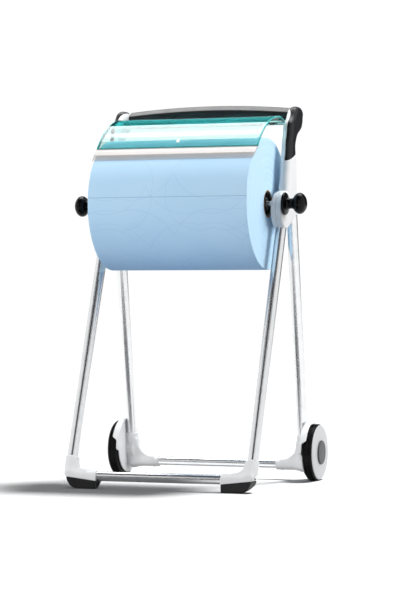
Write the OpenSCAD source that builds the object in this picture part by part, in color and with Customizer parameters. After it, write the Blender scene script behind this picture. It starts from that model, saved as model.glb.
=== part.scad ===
// Wheeled floor stand for a large wiper-paper roll, with a tear-off lid.
// X runs across the stand, Y from front to rear, Z up; the origin is on the
// floor under the middle of the stand.

/* [Stand] */
// Depth from the front feet to the back of the tyres
stand_depth = 530; // [520:1:540]
// Distance from the middle of the stand to each side's leg tubes
leg_x = 246; // [244:1:248]
// Radius of the leg tubes
leg_r = 14; // [13.5:0.1:14]
// Wall of all the steel tubes
tube_wall = 1.5; // [1:0.1:2]
// Radius of the two cross tubes
cross_r = 12.5; // [11:0.5:12.5]
// How far the front legs lean back, in degrees
front_lean = 21; // [20.9:0.05:21.1]
// How far the rear legs lean forward, in degrees
rear_lean = 9.2; // [9.1:0.05:9.3]
// Height of the front cross tube's axis
front_tube_z = 32; // [31:0.5:33]
// Height of the rear cross tube's axis
rear_tube_z = 41; // [40:0.5:42]

/* [Roll] */
// Diameter of the paper roll
roll_d = 343; // [250:1:343]
// Width of the paper roll
roll_w = 436; // [400:1:438]
// Outside diameter of the cardboard core
core_d = 72; // [66:1:76]
// Wall of the cardboard core
core_wall = 3; // [2:0.5:4]
// How far the roll's axis is in front of the middle of the stand
roll_forward = 29; // [28:0.5:30]
// Height of the roll's axis
roll_z = 733; // [732:0.5:734]

/* [Lid and tear bar] */
// Width of the lid
lid_w = 446; // [440:1:450]
// Thickness of the lid's sheet
lid_t = 3; // [2.5:0.1:3.5]
// Number of notches along the tear bar
notches = 70; // [40:1:80]

/* [Knobs] */
// Radius of the knob's flange
flange_r = 29.5; // [26:0.5:31]
// Radius of the knob's ball
ball_r = 27.7; // [24:0.1:28]
// Radius of the steel spindle
spindle_r = 8; // [7:0.1:9]
// How far each knob pulls out
knob_travel = 21; // [20:0.5:21]

/* [Wheels] */
// Radius of the tyre
wheel_r = 75.5; // [74:0.5:76]
// Radius of the wheel's axle
axle_r = 6; // [5:0.5:6]

/* [Hidden] */
$fn = 72;

// Gaps: a running fit, a fit for pressed and screwed parts, and a moulded seam.
run_fit = 0.06;
socket_fit = 0.05;
seam = 0.2;

// Colours.
white_plastic = [0.93, 0.94, 0.95];
chrome_steel = [0.8, 0.82, 0.84];
black_plastic = [0.06, 0.06, 0.07];
turquoise = [0.1, 0.7, 0.72, 0.6];

// Corners of the stand.
sleeve_r = cross_r + 2.5;
leg_sleeve_r = leg_r + 2.5;
front_y = -stand_depth / 2 + sleeve_r;
wheel_y = stand_depth / 2 - wheel_r;
wheel_z = wheel_r;
rear_y = wheel_y + (wheel_z - rear_tube_z) * tan(rear_lean);
sleeve_mouth_x = 169;
cross_tube_end_x = leg_x - leg_r - 6;
foot_inner_x = 170;
foot_outer_x = 251;
foot_z = 30;
foot_rise_r = 33;
pad_t = 3;

// Side arms, seen from the side.
arm_in_x = 230;
arm_seam_x = 238;
arm_out_x = 261.5;
arm_step_1_x = 250;
arm_step_2_x = 257;
arm_wall = 3;
roll_y = -roll_forward;
grip_cut_y = 31;
grip_cut_z = 849;
grip_cut_slope = 22.5;
front_leg_top_z = 852;
rear_leg_top_z = 778;

// Handle between the arms.
handle_y = 134;
handle_top_z = 1006;
handle_h = 46;
handle_d = 34;
handle_t = 2.5;
crown_r = 2300;
handle_core_r = 11;
handle_core_z = 972;

// Lid: a wide front arc, a tight rear arc and a hinge bead.
lid_arc_y = 61;
lid_arc_z = 724;
lid_arc_r = 243.5;
lid_front_angle = 50;
lid_rear_angle = 36;
lid_rear_r = 58;
hinge_y = 105;
hinge_z = 954;
hinge_bead_r = 7;
hinge_pin_r = 3;

// Tear bar, wrapped round the roll.
bar_gap = 0.7;
bar_t = 2.2;
bar_top_angle = 34.5;
bar_low_angle = 49.5;
bar_tongue_angle = 32;
bar_tongue_t = 1;
notch_angle = 45.8;
notch_len = 20;
notch_w = 3.4;

// Knob and spindle along X, measured outwards from the middle.
flange_in_x = arm_out_x + 0.3;
flange_out_x = flange_in_x + 7;
neck_r = 14;
ball_x = 304.5;
ball_half = 18.5;
spindle_in_x = 199;
spindle_out_x = 296;
clip_t = 2;
clip_r = 9.4;
bush_r = 12;
bush_len = 5;
clip_x = arm_out_x - bush_len - clip_t - knob_travel - seam;

// Wheel along X.
guard_x = 259;
guard_t = 3.3;
guard_r = 83;
guard_low_r = 66;
lip_cut_angle = 58;
lip_rear = 14;
tyre_in_x = 264.8;
tyre_out_x = 290.4;
rim_r = 60;
disc_r = 73;
cap_r = 32;
cap_out_x = 299;
wheel_hub_r = 17;
wheel_bush_r = 9;
axle_in_x = 236;
axle_out_x = 291;
axle_clip_t = 2;

screw_r = 2.2;
screw_head_r = 4.2;

// ---- helpers -------------------------------------------------------------

// Mirrors the right-hand part to the left side when side is -1.
module on_side(side) {
    if (side < 0) mirror([1, 0, 0]) children();
    else children();
}

module rod_x(y, z, x0, x1, r) {
    translate([x0, y, z]) rotate([0, 90, 0]) cylinder(h = x1 - x0, r = r);
}

// Extrudes a Y-Z outline along X.
module side_plate(x0, x1) {
    translate([x0, 0, 0]) rotate([90, 0, 90]) linear_extrude(x1 - x0) children();
}

// Turns an outline of [distance from the axis, position along X] about an X axis.
module turn_x(y, z) {
    translate([0, y, z]) rotate([0, 90, 0]) rotate_extrude() children();
}

module tube_z(h, r, wall) {
    difference() {
        cylinder(h = h, r = r);
        translate([0, 0, -1]) cylinder(h = h + 2, r = r - wall);
    }
}

// Frames whose Z runs up a leg, with the origin on the cross tube's axis.
module at_front_corner() {
    translate([0, front_y, front_tube_z]) rotate([-front_lean, 0, 0]) children();
}

module at_rear_corner() {
    translate([0, rear_y, rear_tube_z]) rotate([rear_lean, 0, 0]) children();
}

function arc_points(y, z, r, a0, a1, steps) =
    [for (i = [0:steps]) let (a = a0 + (a1 - a0) * i / steps)
        [y - r * sin(a), z + r * cos(a)]];

// ---- tubes ---------------------------------------------------------------

front_leg_start = 5;
rear_leg_start = 44;
front_leg_end = (front_leg_top_z - front_tube_z) / cos(front_lean);
rear_leg_end = (rear_leg_top_z - rear_tube_z) / cos(rear_lean);

module front_leg(side) {
    color(chrome_steel) on_side(side) at_front_corner()
        translate([leg_x, 0, front_leg_start])
            tube_z(front_leg_end - front_leg_start, leg_r, tube_wall);
}

module rear_leg(side) {
    color(chrome_steel) on_side(side) at_rear_corner()
        translate([leg_x, 0, rear_leg_start])
            tube_z(rear_leg_end - rear_leg_start, leg_r, tube_wall);
}

module cross_tube(y, z, screwed) {
    color(chrome_steel) difference() {
        translate([-cross_tube_end_x, y, z]) rotate([0, 90, 0])
            tube_z(2 * cross_tube_end_x, cross_r, tube_wall);
        if (screwed) for (side = [-1, 1]) on_side(side) corner_screw_holes(y, z);
    }
}

// ---- corners -------------------------------------------------------------

// An elbow in its leg's own plane: two sleeves, a ball at the outer corner
// and a web with a hollow curve between the sleeves.
module elbow(rise, fillet_r, web_t) {
    web_x = leg_x - leg_sleeve_r - fillet_r;
    web_z = sleeve_r + fillet_r;
    translate([leg_x, 0, 0]) cylinder(h = rise, r = leg_sleeve_r);
    translate([leg_x, 0, 0]) sphere(r = leg_sleeve_r);
    rod_x(0, 0, sleeve_mouth_x, leg_x, sleeve_r);
    rotate([90, 0, 0]) linear_extrude(web_t, center = true) difference() {
        translate([web_x, 0]) square([leg_x - web_x, web_z]);
        translate([web_x, web_z]) circle(r = fillet_r);
    }
}

module tube_sockets(leg_start, rise) {
    translate([leg_x, 0, leg_start]) cylinder(h = rise, r = leg_r);
    rod_x(0, 0, sleeve_mouth_x - 1, cross_tube_end_x, cross_r);
}

// The foot's outer form, drawn in by t on every outer face.
module foot_form(t) {
    front = -stand_depth / 2 + t;
    intersection() {
        translate([0, front_y, 0]) rotate([90, 0, 0])
            linear_extrude(120, center = true) intersection() {
                hull() {
                    translate([foot_inner_x, t]) square([10, foot_z - t]);
                    translate([foot_outer_x - foot_rise_r, foot_rise_r])
                        circle(r = foot_rise_r - t);
                }
                translate([foot_inner_x, 0]) square([120, foot_z]);
            }
        side_plate(foot_inner_x, foot_outer_x) polygon([
            [front, foot_z], [front, 4 + t], [front + 4, t],
            [front + 20, t], [front + 49 - 2 * t, 18 + t / 2], [front + 49 - 2 * t, foot_z]
        ]);
    }
}

module front_corner(side) {
    rise = 50;
    color(white_plastic) on_side(side) difference() {
        union() {
            at_front_corner() elbow(rise, 28, 22);
            foot_form(pad_t);
        }
        at_front_corner() tube_sockets(front_leg_start, rise);
        translate([foot_inner_x - 5, -stand_depth / 2 - 20, 0]) cube([120, 20, 100]);
    }
}

module foot_pad(side) {
    color(black_plastic) on_side(side) difference() {
        foot_form(0);
        foot_form(pad_t);
        rod_x(front_y, front_tube_z, foot_inner_x - 1, leg_x, sleeve_r);
        translate([leg_x, front_y, front_tube_z]) sphere(r = leg_sleeve_r);
        at_front_corner() translate([leg_x, 0, 0]) cylinder(h = 50, r = leg_sleeve_r);
    }
}

// Wheel guard: a disc inside the wheel that widens over the tread's top into a
// lip. Its two ends narrow along a slanted line.
module wheel_guard() {
    lip_r = guard_r - 3;
    lip_out_x = tyre_out_x + 0.6;
    lip_low_z = wheel_z + 26;
    rod_x(wheel_y, wheel_z, guard_x, guard_x + guard_t, guard_low_r);
    difference() {
        turn_x(wheel_y, wheel_z) polygon([
            [0, guard_x], [guard_r, guard_x], [guard_r, lip_out_x], [lip_r, lip_out_x],
            [lip_r, guard_x + guard_t], [0, guard_x + guard_t]
        ]);
        translate([guard_x, wheel_y - 100, 0]) cube([60, 200, wheel_z]);
        translate([guard_x + guard_t, wheel_y - 100, lip_low_z])
            rotate([0, 90 - lip_cut_angle, 0]) translate([0, 0, -100]) cube([100, 200, 200]);
        translate([guard_x - 1, wheel_y + wheel_r, 0]) cube([60, 60, 200]);
        translate([guard_x + guard_t, wheel_y + lip_rear, 0]) cube([60, 100, 200]);
    }
}

module rear_corner(side) {
    rise = 80;
    color(white_plastic) on_side(side) difference() {
        union() {
            at_rear_corner() elbow(rise, 46, 20);
            wheel_guard();
            rod_x(wheel_y, wheel_z, leg_x - leg_sleeve_r, guard_x + guard_t, 20);
        }
        at_rear_corner() tube_sockets(rear_leg_start, rise);
        rod_x(wheel_y, wheel_z, axle_in_x, arm_out_x + 50, axle_r);
        corner_screw_holes(rear_y, rear_tube_z);
    }
}

// One screw per rear corner, up through the sleeve into the cross tube.
corner_screw_x = 184;
corner_screw_head = 2.4;
corner_screw_sunk = 1;

module corner_screw_holes(y, z) {
    pocket_z = z - sleeve_r + corner_screw_sunk;
    translate([corner_screw_x, y, pocket_z - 20]) cylinder(h = 20, r = screw_head_r);
    translate([corner_screw_x, y, pocket_z - 1]) cylinder(h = 10, r = screw_r + socket_fit);
}

module corner_screw(y, z) {
    translate([corner_screw_x, y, z - sleeve_r + corner_screw_sunk - corner_screw_head]) {
        cylinder(h = corner_screw_head, r = screw_head_r - 0.2);
        cylinder(h = 8, r = screw_r);
    }
}

module corner_screws() {
    color(chrome_steel) for (side = [-1, 1]) on_side(side)
        corner_screw(rear_y, rear_tube_z);
}

// ---- side arms -----------------------------------------------------------

module disc_at(c) translate([c[0], c[1]]) circle(r = c[2], $fn = 36);

module blend(a, b) hull() {
    disc_at(a);
    disc_at(b);
}

// The arm's outline: a boss for the spindle, a socket over the rear leg,
// a waist and a horn that carries the handle, each a disc [y, z, radius].
module arm_outline(inset = 0, boss_inset = 0) {
    boss = [3, 718, 50 - boss_inset];
    socket = [83, 724, 19 - inset];
    base = [56, 770, 42 - inset];
    waist = [61, 837, 34 - inset];
    neck = [62, 893, 23 - inset];
    knuckle = [79, 932, 28 - inset];
    horn = [116, 962, 34 - inset];
    tip = [134, 976, 20 - inset];
    blend(boss, socket);
    blend(base, waist);
    blend(waist, neck);
    blend(neck, knuckle);
    blend(knuckle, horn);
    blend(horn, tip);
}

// The outer half in three layers that draw in towards the outer face.
module arm_layers(x0, wall, side_wall) {
    side_plate(x0, arm_step_1_x - side_wall) arm_outline(wall, wall);
    side_plate(x0, arm_step_2_x - side_wall) arm_outline(wall + 4, wall + 1);
    side_plate(x0, arm_out_x - side_wall) arm_outline(wall + 10, wall + 2);
}

// Everything above the slanted joint between the cover and the grip end.
module above_grip_cut(gap) {
    translate([grip_cut_y, grip_cut_z]) rotate(grip_cut_slope)
        translate([-200, gap]) square([500, 300]);
}

module leg_sockets_in_arm(r) {
    at_front_corner() translate([leg_x, 0, 600]) cylinder(h = front_leg_end - 600, r = r);
    at_rear_corner() translate([leg_x, 0, 550]) cylinder(h = rear_leg_end - 550, r = r);
}

// Sleeves round the two leg tubes, clear of the arm's flat faces.
module leg_sleeves(x0, x1) {
    intersection() {
        union() {
            at_front_corner() translate([leg_x, 0, 690]) cylinder(h = 170, r = leg_sleeve_r);
            at_rear_corner() translate([leg_x, 0, 675]) cylinder(h = 80, r = leg_sleeve_r);
        }
        translate([x0, -200, 0]) cube([x1 - x0, 500, 1000]);
    }
}

arm_screw_spots = [[-18, 697], [102, 735], [50, 888], [116, 940]];

module arm_screw_holes(x0, x1, r) {
    for (p = arm_screw_spots) rod_x(p[0], p[1], x0, x1, r, $fn = 24);
}

module arm_shell(side) {
    color(white_plastic) on_side(side) difference() {
        union() {
            side_plate(arm_in_x, arm_in_x + 3) arm_outline(4, 1);
            side_plate(arm_in_x + 3, arm_seam_x) arm_outline();
            leg_sleeves(arm_in_x, arm_seam_x);
        }
        leg_sockets_in_arm(leg_r + socket_fit);
        rod_x(roll_y, roll_z, arm_in_x - 1, arm_seam_x + 1, spindle_r + run_fit);
        rod_x(roll_y, roll_z, arm_in_x + 3, arm_seam_x + 1, bush_r + 4);
        rod_x(handle_y, handle_core_z, arm_in_x - 1, arm_seam_x + 1, handle_core_r + socket_fit);
        rod_x(hinge_y, hinge_z, arm_in_x - 1, arm_seam_x - 2, hinge_pin_r);
        arm_screw_holes(arm_in_x - 1, arm_in_x + 3, screw_head_r);
        arm_screw_holes(arm_in_x, arm_seam_x + 1, screw_r + 0.1);
    }
}

// The outer half of the arm as a hollow shell with its bosses.
module arm_outer_half() {
    difference() {
        union() {
            difference() {
                arm_layers(arm_seam_x + seam, 0, 0);
                arm_layers(arm_seam_x, arm_wall, arm_wall);
            }
            leg_sleeves(arm_seam_x + seam, arm_out_x - 0.1);
            intersection() {
                union() {
                    arm_screw_holes(arm_seam_x + seam, arm_out_x - 1, 6);
                    rod_x(handle_y, handle_core_z, arm_seam_x + seam, arm_out_x - 1,
                        handle_core_r + 3);
                    rod_x(roll_y, roll_z, arm_out_x - bush_len, arm_out_x - 1, bush_r + 3);
                }
                arm_layers(arm_seam_x, 0, 0);
            }
        }
        leg_sockets_in_arm(leg_r + socket_fit);
        rod_x(roll_y, roll_z, arm_out_x - bush_len - 1, arm_out_x + 1, bush_r + socket_fit);
        rod_x(handle_y, handle_core_z, arm_seam_x - 1, arm_out_x - 3, handle_core_r + socket_fit);
        arm_screw_holes(arm_seam_x - 1, arm_out_x - 6, screw_r + 0.1);
    }
}

module arm_cover(side) {
    color(white_plastic) on_side(side) difference() {
        arm_outer_half();
        side_plate(arm_seam_x - 1, arm_out_x + 1) above_grip_cut(-seam);
    }
}

module grip_end(side) {
    color(black_plastic) on_side(side) intersection() {
        arm_outer_half();
        side_plate(arm_seam_x - 1, arm_out_x + 1) above_grip_cut(0);
    }
}

module arm_screws() {
    color(chrome_steel) for (side = [-1, 1]) on_side(side) {
        arm_screw_holes(arm_in_x + 0.6, arm_in_x + 3, screw_head_r - 0.2);
        arm_screw_holes(arm_in_x + 3, arm_out_x - 6.5, screw_r);
    }
}

module spindle_bush(side) {
    color([0.85, 0.85, 0.82]) on_side(side) difference() {
        rod_x(roll_y, roll_z, arm_out_x - bush_len, arm_out_x, bush_r);
        rod_x(roll_y, roll_z, arm_out_x - bush_len - 1, arm_out_x + 1, spindle_r + run_fit);
    }
}

// ---- handle --------------------------------------------------------------

handle_mid_z = handle_top_z - handle_h / 2;

// An upright rounded section, swept along a shallow crown.
module handle_sweep(inset, half_w) {
    half_angle = asin(arm_in_x / crown_r) + 0.3;
    straight = (handle_h - handle_d) / 2;
    intersection() {
        translate([0, handle_y, handle_mid_z - crown_r]) rotate([90, 0, 0])
            rotate([0, 0, 90 - half_angle]) rotate_extrude(angle = 2 * half_angle, $fn = 720)
                translate([crown_r, 0]) union() {
                    translate([straight, 0]) circle(r = handle_d / 2 - inset);
                    translate([-straight, 0]) circle(r = handle_d / 2 - inset);
                    square([2 * straight, handle_d - 2 * inset], center = true);
                }
        translate([-half_w, -300, 800]) cube([2 * half_w, 600, 400]);
    }
}

module handle_bar() {
    color(black_plastic) difference() {
        handle_sweep(0, arm_in_x - seam);
        handle_sweep(handle_t, arm_in_x - seam - handle_t);
        rod_x(handle_y, handle_core_z, -arm_in_x, arm_in_x, handle_core_r);
    }
}

module handle_core() {
    color(chrome_steel) translate([-arm_out_x + 4, handle_y, handle_core_z])
        rotate([0, 90, 0]) tube_z(2 * (arm_out_x - 4), handle_core_r, tube_wall);
}

// ---- lid -----------------------------------------------------------------

lid_out_r = lid_arc_r;
lid_in_r = lid_arc_r - lid_t;

module lid_outline() {
    crest_z = lid_arc_z + lid_arc_r;
    polygon(concat(
        arc_points(lid_arc_y, lid_arc_z, lid_out_r, lid_front_angle, 0, 30),
        arc_points(lid_arc_y, crest_z - lid_rear_r, lid_rear_r, -6, -lid_rear_angle, 6),
        arc_points(lid_arc_y, crest_z - lid_rear_r, lid_rear_r - lid_t, -lid_rear_angle, -6, 6),
        arc_points(lid_arc_y, lid_arc_z, lid_in_r, 0, lid_front_angle, 30)
    ));
}

module lid() {
    ear_w = 8;
    half = lid_w / 2;
    color(turquoise) difference() {
        union() {
            side_plate(-half, half) lid_outline();
            rod_x(hinge_y, hinge_z, -half, half, hinge_bead_r);
            for (side = [-1, 1]) on_side(side)
                side_plate(half - ear_w, half) polygon([
                    [hinge_y, hinge_z - 5], [hinge_y, hinge_z + 3],
                    [lid_arc_y + 4, lid_arc_z + lid_in_r], [lid_arc_y - 10, lid_arc_z + lid_in_r]
                ]);
        }
        for (side = [-1, 1]) on_side(side)
            rod_x(hinge_y, hinge_z, half - 22, half + 1, hinge_pin_r + run_fit);
    }
}

module lid_tab() {
    tab_angle = 45;
    color([0.85, 0.93, 0.93]) translate([0, lid_arc_y, lid_arc_z])
        rotate([tab_angle, 0, 0]) translate([0, 0, lid_out_r + 1.02])
            cube([9, 15, 2], center = true);
}

module lid_hinge_pins() {
    color(chrome_steel) for (side = [-1, 1]) on_side(side)
        rod_x(hinge_y, hinge_z, lid_w / 2 - 20, arm_seam_x - 2, hinge_pin_r);
}

// ---- tear bar ------------------------------------------------------------

// A strip of a ring round the roll's axis; angles run forward from the top.
module ring_strip(r0, r1, a0, a1) {
    side_plate(-lid_w / 2, lid_w / 2) polygon(concat(
        arc_points(roll_y, roll_z, r1, a0, a1, 10),
        arc_points(roll_y, roll_z, r0, a1, a0, 10)
    ));
}

module tear_bar() {
    r0 = roll_d / 2 + bar_gap;
    pitch = lid_w / notches;
    color([0.9, 0.89, 0.88]) difference() {
        union() {
            ring_strip(r0, r0 + bar_t, bar_top_angle, bar_low_angle);
            ring_strip(r0, r0 + bar_tongue_t, bar_tongue_angle, bar_top_angle + 0.1);
        }
        translate([0, roll_y, roll_z]) rotate([notch_angle, 0, 0])
            translate([0, 0, r0 - 4]) linear_extrude(12)
                for (i = [0:notches]) translate([-lid_w / 2 + i * pitch, 0])
                    polygon([[-notch_w / 2, -notch_len], [0, notch_len / 2],
                        [notch_w / 2, -notch_len]]);
    }
}

// ---- roll ----------------------------------------------------------------

module paper_roll() {
    color([0.62, 0.78, 0.94]) difference() {
        rod_x(roll_y, roll_z, -roll_w / 2, roll_w / 2, roll_d / 2);
        rod_x(roll_y, roll_z, -roll_w, roll_w, core_d / 2);
    }
}

module roll_core() {
    color([0.6, 0.45, 0.3]) difference() {
        rod_x(roll_y, roll_z, -roll_w / 2, roll_w / 2, core_d / 2);
        rod_x(roll_y, roll_z, -roll_w, roll_w, core_d / 2 - core_wall);
    }
}

// A dished plug in the end of the core, with a bore for the spindle.
module core_plug(side) {
    r = core_d / 2 - core_wall;
    x1 = roll_w / 2 - 1;
    x0 = x1 - 34;
    color(black_plastic) on_side(side) turn_x(roll_y, roll_z) polygon([
        [spindle_r + run_fit, x0], [16, x0], [16, x1 - 10], [r - 3, x1 - 10],
        [r - 3, x0 + 4], [r - 1.5, x0], [r, x0 + 3], [r, x1], [r - 3, x1],
        [r - 5, x1 - 5], [18, x1 - 5], [15, x1], [spindle_r + run_fit, x1]
    ]);
}

// ---- knobs and spindles --------------------------------------------------

module knob(side) {
    socket_x = spindle_out_x;
    ball = [for (i = [0:16]) let (a = 148 - 148 * i / 16)
        [ball_r * sin(a), ball_x + ball_half * cos(a)]];
    color(black_plastic) on_side(side) turn_x(roll_y, roll_z) polygon(concat(
        [[spindle_r, flange_in_x], [flange_r - 1.5, flange_in_x],
            [flange_r, flange_in_x + 2], [flange_r - 1, flange_out_x - 2],
            [flange_r - 6, flange_out_x], [neck_r + 2, flange_out_x + 2],
            [neck_r - 1, flange_out_x + 7]],
        ball,
        [[0, socket_x], [spindle_r, socket_x]]
    ));
}

module spindle(side) {
    color(chrome_steel) on_side(side) difference() {
        turn_x(roll_y, roll_z) polygon([
            [0, spindle_in_x], [spindle_r - 2, spindle_in_x],
            [spindle_r, spindle_in_x + 3], [spindle_r, spindle_out_x], [0, spindle_out_x]
        ]);
        turn_x(roll_y, roll_z) polygon([
            [spindle_r - 1.5, clip_x], [spindle_r + 1, clip_x],
            [spindle_r + 1, clip_x + clip_t], [spindle_r - 1.5, clip_x + clip_t]
        ]);
    }
}

module spindle_clip(side) {
    color([0.35, 0.36, 0.38]) on_side(side) turn_x(roll_y, roll_z) polygon([
        [spindle_r - 1.5, clip_x], [clip_r, clip_x],
        [clip_r, clip_x + clip_t], [spindle_r - 1.5, clip_x + clip_t]
    ]);
}

// ---- wheels --------------------------------------------------------------

module tyre(side) {
    color([0.1, 0.1, 0.11]) on_side(side) turn_x(wheel_y, wheel_z) polygon([
        [rim_r, tyre_in_x], [wheel_r - 3, tyre_in_x], [wheel_r, tyre_in_x + 3],
        [wheel_r, tyre_out_x - 3], [wheel_r - 2, tyre_out_x], [rim_r, tyre_out_x]
    ]);
}

module wheel(side) {
    disc_x = tyre_out_x + 0.2;
    disc_t = 3;
    color([0.86, 0.87, 0.88]) on_side(side) turn_x(wheel_y, wheel_z) polygon([
        [wheel_bush_r, tyre_in_x + 1.5], [wheel_hub_r, tyre_in_x + 1.5],
        [wheel_hub_r, 278], [rim_r - 5, 278], [rim_r - 5, tyre_in_x], [rim_r, tyre_in_x],
        [rim_r, disc_x], [disc_r - 1, disc_x], [disc_r, disc_x + 1],
        [disc_r - 3, disc_x + disc_t], [cap_r - 1, disc_x + disc_t + 1],
        [cap_r - 1, disc_x], [rim_r - 8, disc_x], [rim_r - 8, 282],
        [wheel_hub_r, 282], [wheel_hub_r, 287], [wheel_bush_r, 287]
    ]);
}

module wheel_bush(side) {
    color([0.85, 0.85, 0.82]) on_side(side) difference() {
        rod_x(wheel_y, wheel_z, tyre_in_x, 287.5, wheel_bush_r);
        rod_x(wheel_y, wheel_z, tyre_in_x - 1, 289, axle_r + run_fit);
    }
}

module hub_cap(side) {
    inner_x = tyre_out_x + 1.2;
    color([0.35, 0.36, 0.38]) on_side(side) turn_x(wheel_y, wheel_z) polygon([
        [0, inner_x + 3], [cap_r - 4, inner_x + 3], [cap_r - 4, inner_x - 8],
        [cap_r - 1, inner_x - 8], [cap_r - 1, tyre_out_x + 4.6],
        [cap_r, tyre_out_x + 4.6], [cap_r, cap_out_x - 2], [cap_r - 4, cap_out_x],
        [0, cap_out_x]
    ]);
}

module wheel_axle(side) {
    color(chrome_steel) on_side(side)
        rod_x(wheel_y, wheel_z, axle_in_x, axle_out_x, axle_r);
}

module axle_clip(side) {
    color([0.5, 0.5, 0.52]) on_side(side) difference() {
        rod_x(wheel_y, wheel_z, 288, 288 + axle_clip_t, 11);
        rod_x(wheel_y, wheel_z, 287, 292, axle_r);
    }
}

// ---- nodes ---------------------------------------------------------------

front_leg(-1);  // front_left_leg
front_leg(1);  // front_right_leg
rear_leg(-1);  // rear_left_leg
rear_leg(1);  // rear_right_leg
cross_tube(front_y, front_tube_z, false);  // front_cross_tube
cross_tube(rear_y, rear_tube_z, true);  // rear_cross_tube
front_corner(-1);  // front_left_corner
front_corner(1);  // front_right_corner
rear_corner(-1);  // rear_left_corner
rear_corner(1);  // rear_right_corner
foot_pad(-1);  // left_foot_pad
foot_pad(1);  // right_foot_pad
corner_screws();
arm_shell(-1);  // left_arm_shell
arm_shell(1);  // right_arm_shell
arm_cover(-1);  // left_arm_cover
arm_cover(1);  // right_arm_cover
grip_end(-1);  // left_grip_end
grip_end(1);  // right_grip_end
arm_screws();
handle_bar();
handle_core();
lid_hinge_pins();
spindle_bush(-1);  // left_spindle_bush
spindle_bush(1);  // right_spindle_bush
wheel_axle(-1);  // left_wheel_axle
wheel_axle(1);  // right_wheel_axle
axle_clip(-1);  // left_axle_clip
axle_clip(1);  // right_axle_clip
lid();
lid_tab();
tear_bar();
paper_roll();
roll_core();
core_plug(-1);  // left_core_plug
core_plug(1);  // right_core_plug
knob(-1);  // left_knob
knob(1);  // right_knob
spindle(-1);  // left_spindle
spindle(1);  // right_spindle
spindle_clip(-1);  // left_spindle_clip
spindle_clip(1);  // right_spindle_clip
tyre(-1);  // left_tyre
tyre(1);  // right_tyre
wheel(-1);  // left_wheel
wheel(1);  // right_wheel
wheel_bush(-1);  // left_wheel_bush
wheel_bush(1);  // right_wheel_bush
hub_cap(-1);  // left_hub_cap
hub_cap(1);  // right_hub_cap
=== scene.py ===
"""Wheeled floor stand for a wiper-paper roll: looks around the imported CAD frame."""
import math

import bmesh
import bpy
import numpy as np
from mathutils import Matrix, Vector


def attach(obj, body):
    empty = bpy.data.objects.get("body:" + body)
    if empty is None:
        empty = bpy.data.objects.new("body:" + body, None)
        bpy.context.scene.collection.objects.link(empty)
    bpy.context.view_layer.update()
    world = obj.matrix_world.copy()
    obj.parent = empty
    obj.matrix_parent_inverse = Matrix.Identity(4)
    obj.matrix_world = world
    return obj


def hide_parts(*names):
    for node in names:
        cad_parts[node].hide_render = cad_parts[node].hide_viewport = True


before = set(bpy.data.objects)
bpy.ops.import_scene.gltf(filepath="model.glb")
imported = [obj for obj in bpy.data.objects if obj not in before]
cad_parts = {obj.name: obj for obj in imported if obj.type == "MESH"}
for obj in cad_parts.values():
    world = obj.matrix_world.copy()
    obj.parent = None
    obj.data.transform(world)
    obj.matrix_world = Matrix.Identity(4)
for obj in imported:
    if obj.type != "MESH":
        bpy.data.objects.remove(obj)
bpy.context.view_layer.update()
MM = 0.001
SIDES = (("left", -1), ("right", 1))

# ---- frame values, in millimetres ----
LEG_X, LEG_R, LEG_SLEEVE_R = 246.0, 14.0, 16.5
CROSS_R, SLEEVE_R, SLEEVE_MOUTH_X = 12.5, 15.0, 169.0
FRONT_Y, FRONT_Z, FRONT_LEAN = -250.0, 32.0, math.radians(21)
REAR_Y, REAR_Z, REAR_LEAN = 195.08, 41.0, math.radians(9.2)
FRONT_START, REAR_START = 5.0, 44.0  # where each leg tube starts along its axis
TUBE_WALL = 1.5
FRONT_LEG_TOP, REAR_LEG_TOP = 852.0, 778.0
FRONT_DIR = np.array([0, math.sin(FRONT_LEAN), math.cos(FRONT_LEAN)])
REAR_DIR = np.array([0, -math.sin(REAR_LEAN), math.cos(REAR_LEAN)])
FRONT_AT = np.array([LEG_X, FRONT_Y, FRONT_Z])
REAR_AT = np.array([LEG_X, REAR_Y, REAR_Z])
WHEEL_Y, WHEEL_Z, WHEEL_R = 189.5, 75.5, 75.5
ROLL_Y, ROLL_Z, ROLL_R, ROLL_HALF = -29.0, 733.0, 171.5, 218.0
CORE_R = 36.0
PERFORATION = math.radians(-85.1)  # from the top of the roll; below 0 is in front of it
HINGE_Y, HINGE_Z = 105.0, 954.0
LID_HALF, LID_Y, LID_Z, LID_R = 223.0, 61.0, 724.0, 243.5
LID_REAR_R = 58.0
HANDLE_Y, HANDLE_TOP, HANDLE_CROWN = 134.0, 1006.0, 2300.0
ARM_IN, ARM_SPLIT, ARM_OUT = 230.0, 244.5, 261.5


# ---- mesh helpers ----
def mesh_object(name, verts, faces, smooth=True):
    """A new object from points in millimetres and faces."""
    me = bpy.data.meshes.new(name)
    me.from_pydata((np.asarray(verts, float) * MM).tolist(), [], [list(map(int, f)) for f in faces])
    me.validate()
    me.update()
    if smooth:
        me.shade_smooth()
    ob = bpy.data.objects.new(name, me)
    bpy.context.scene.collection.objects.link(ob)
    return ob


def sharpen(ob, degrees=35):
    """Marks edges sharper than the angle, so that flats stay flat under smooth shading."""
    ob.data.set_sharp_from_angle(angle=math.radians(degrees))
    return ob


def finish_piece(ob, body, slot, material, *nodes):
    """Gives a piece its material and the body it rides on, and hides the CAD nodes it replaces; slot is not
    used.
    """
    ob.data.materials.append(material)
    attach(ob, body)
    if nodes:
        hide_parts(*nodes)
    return ob


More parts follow.
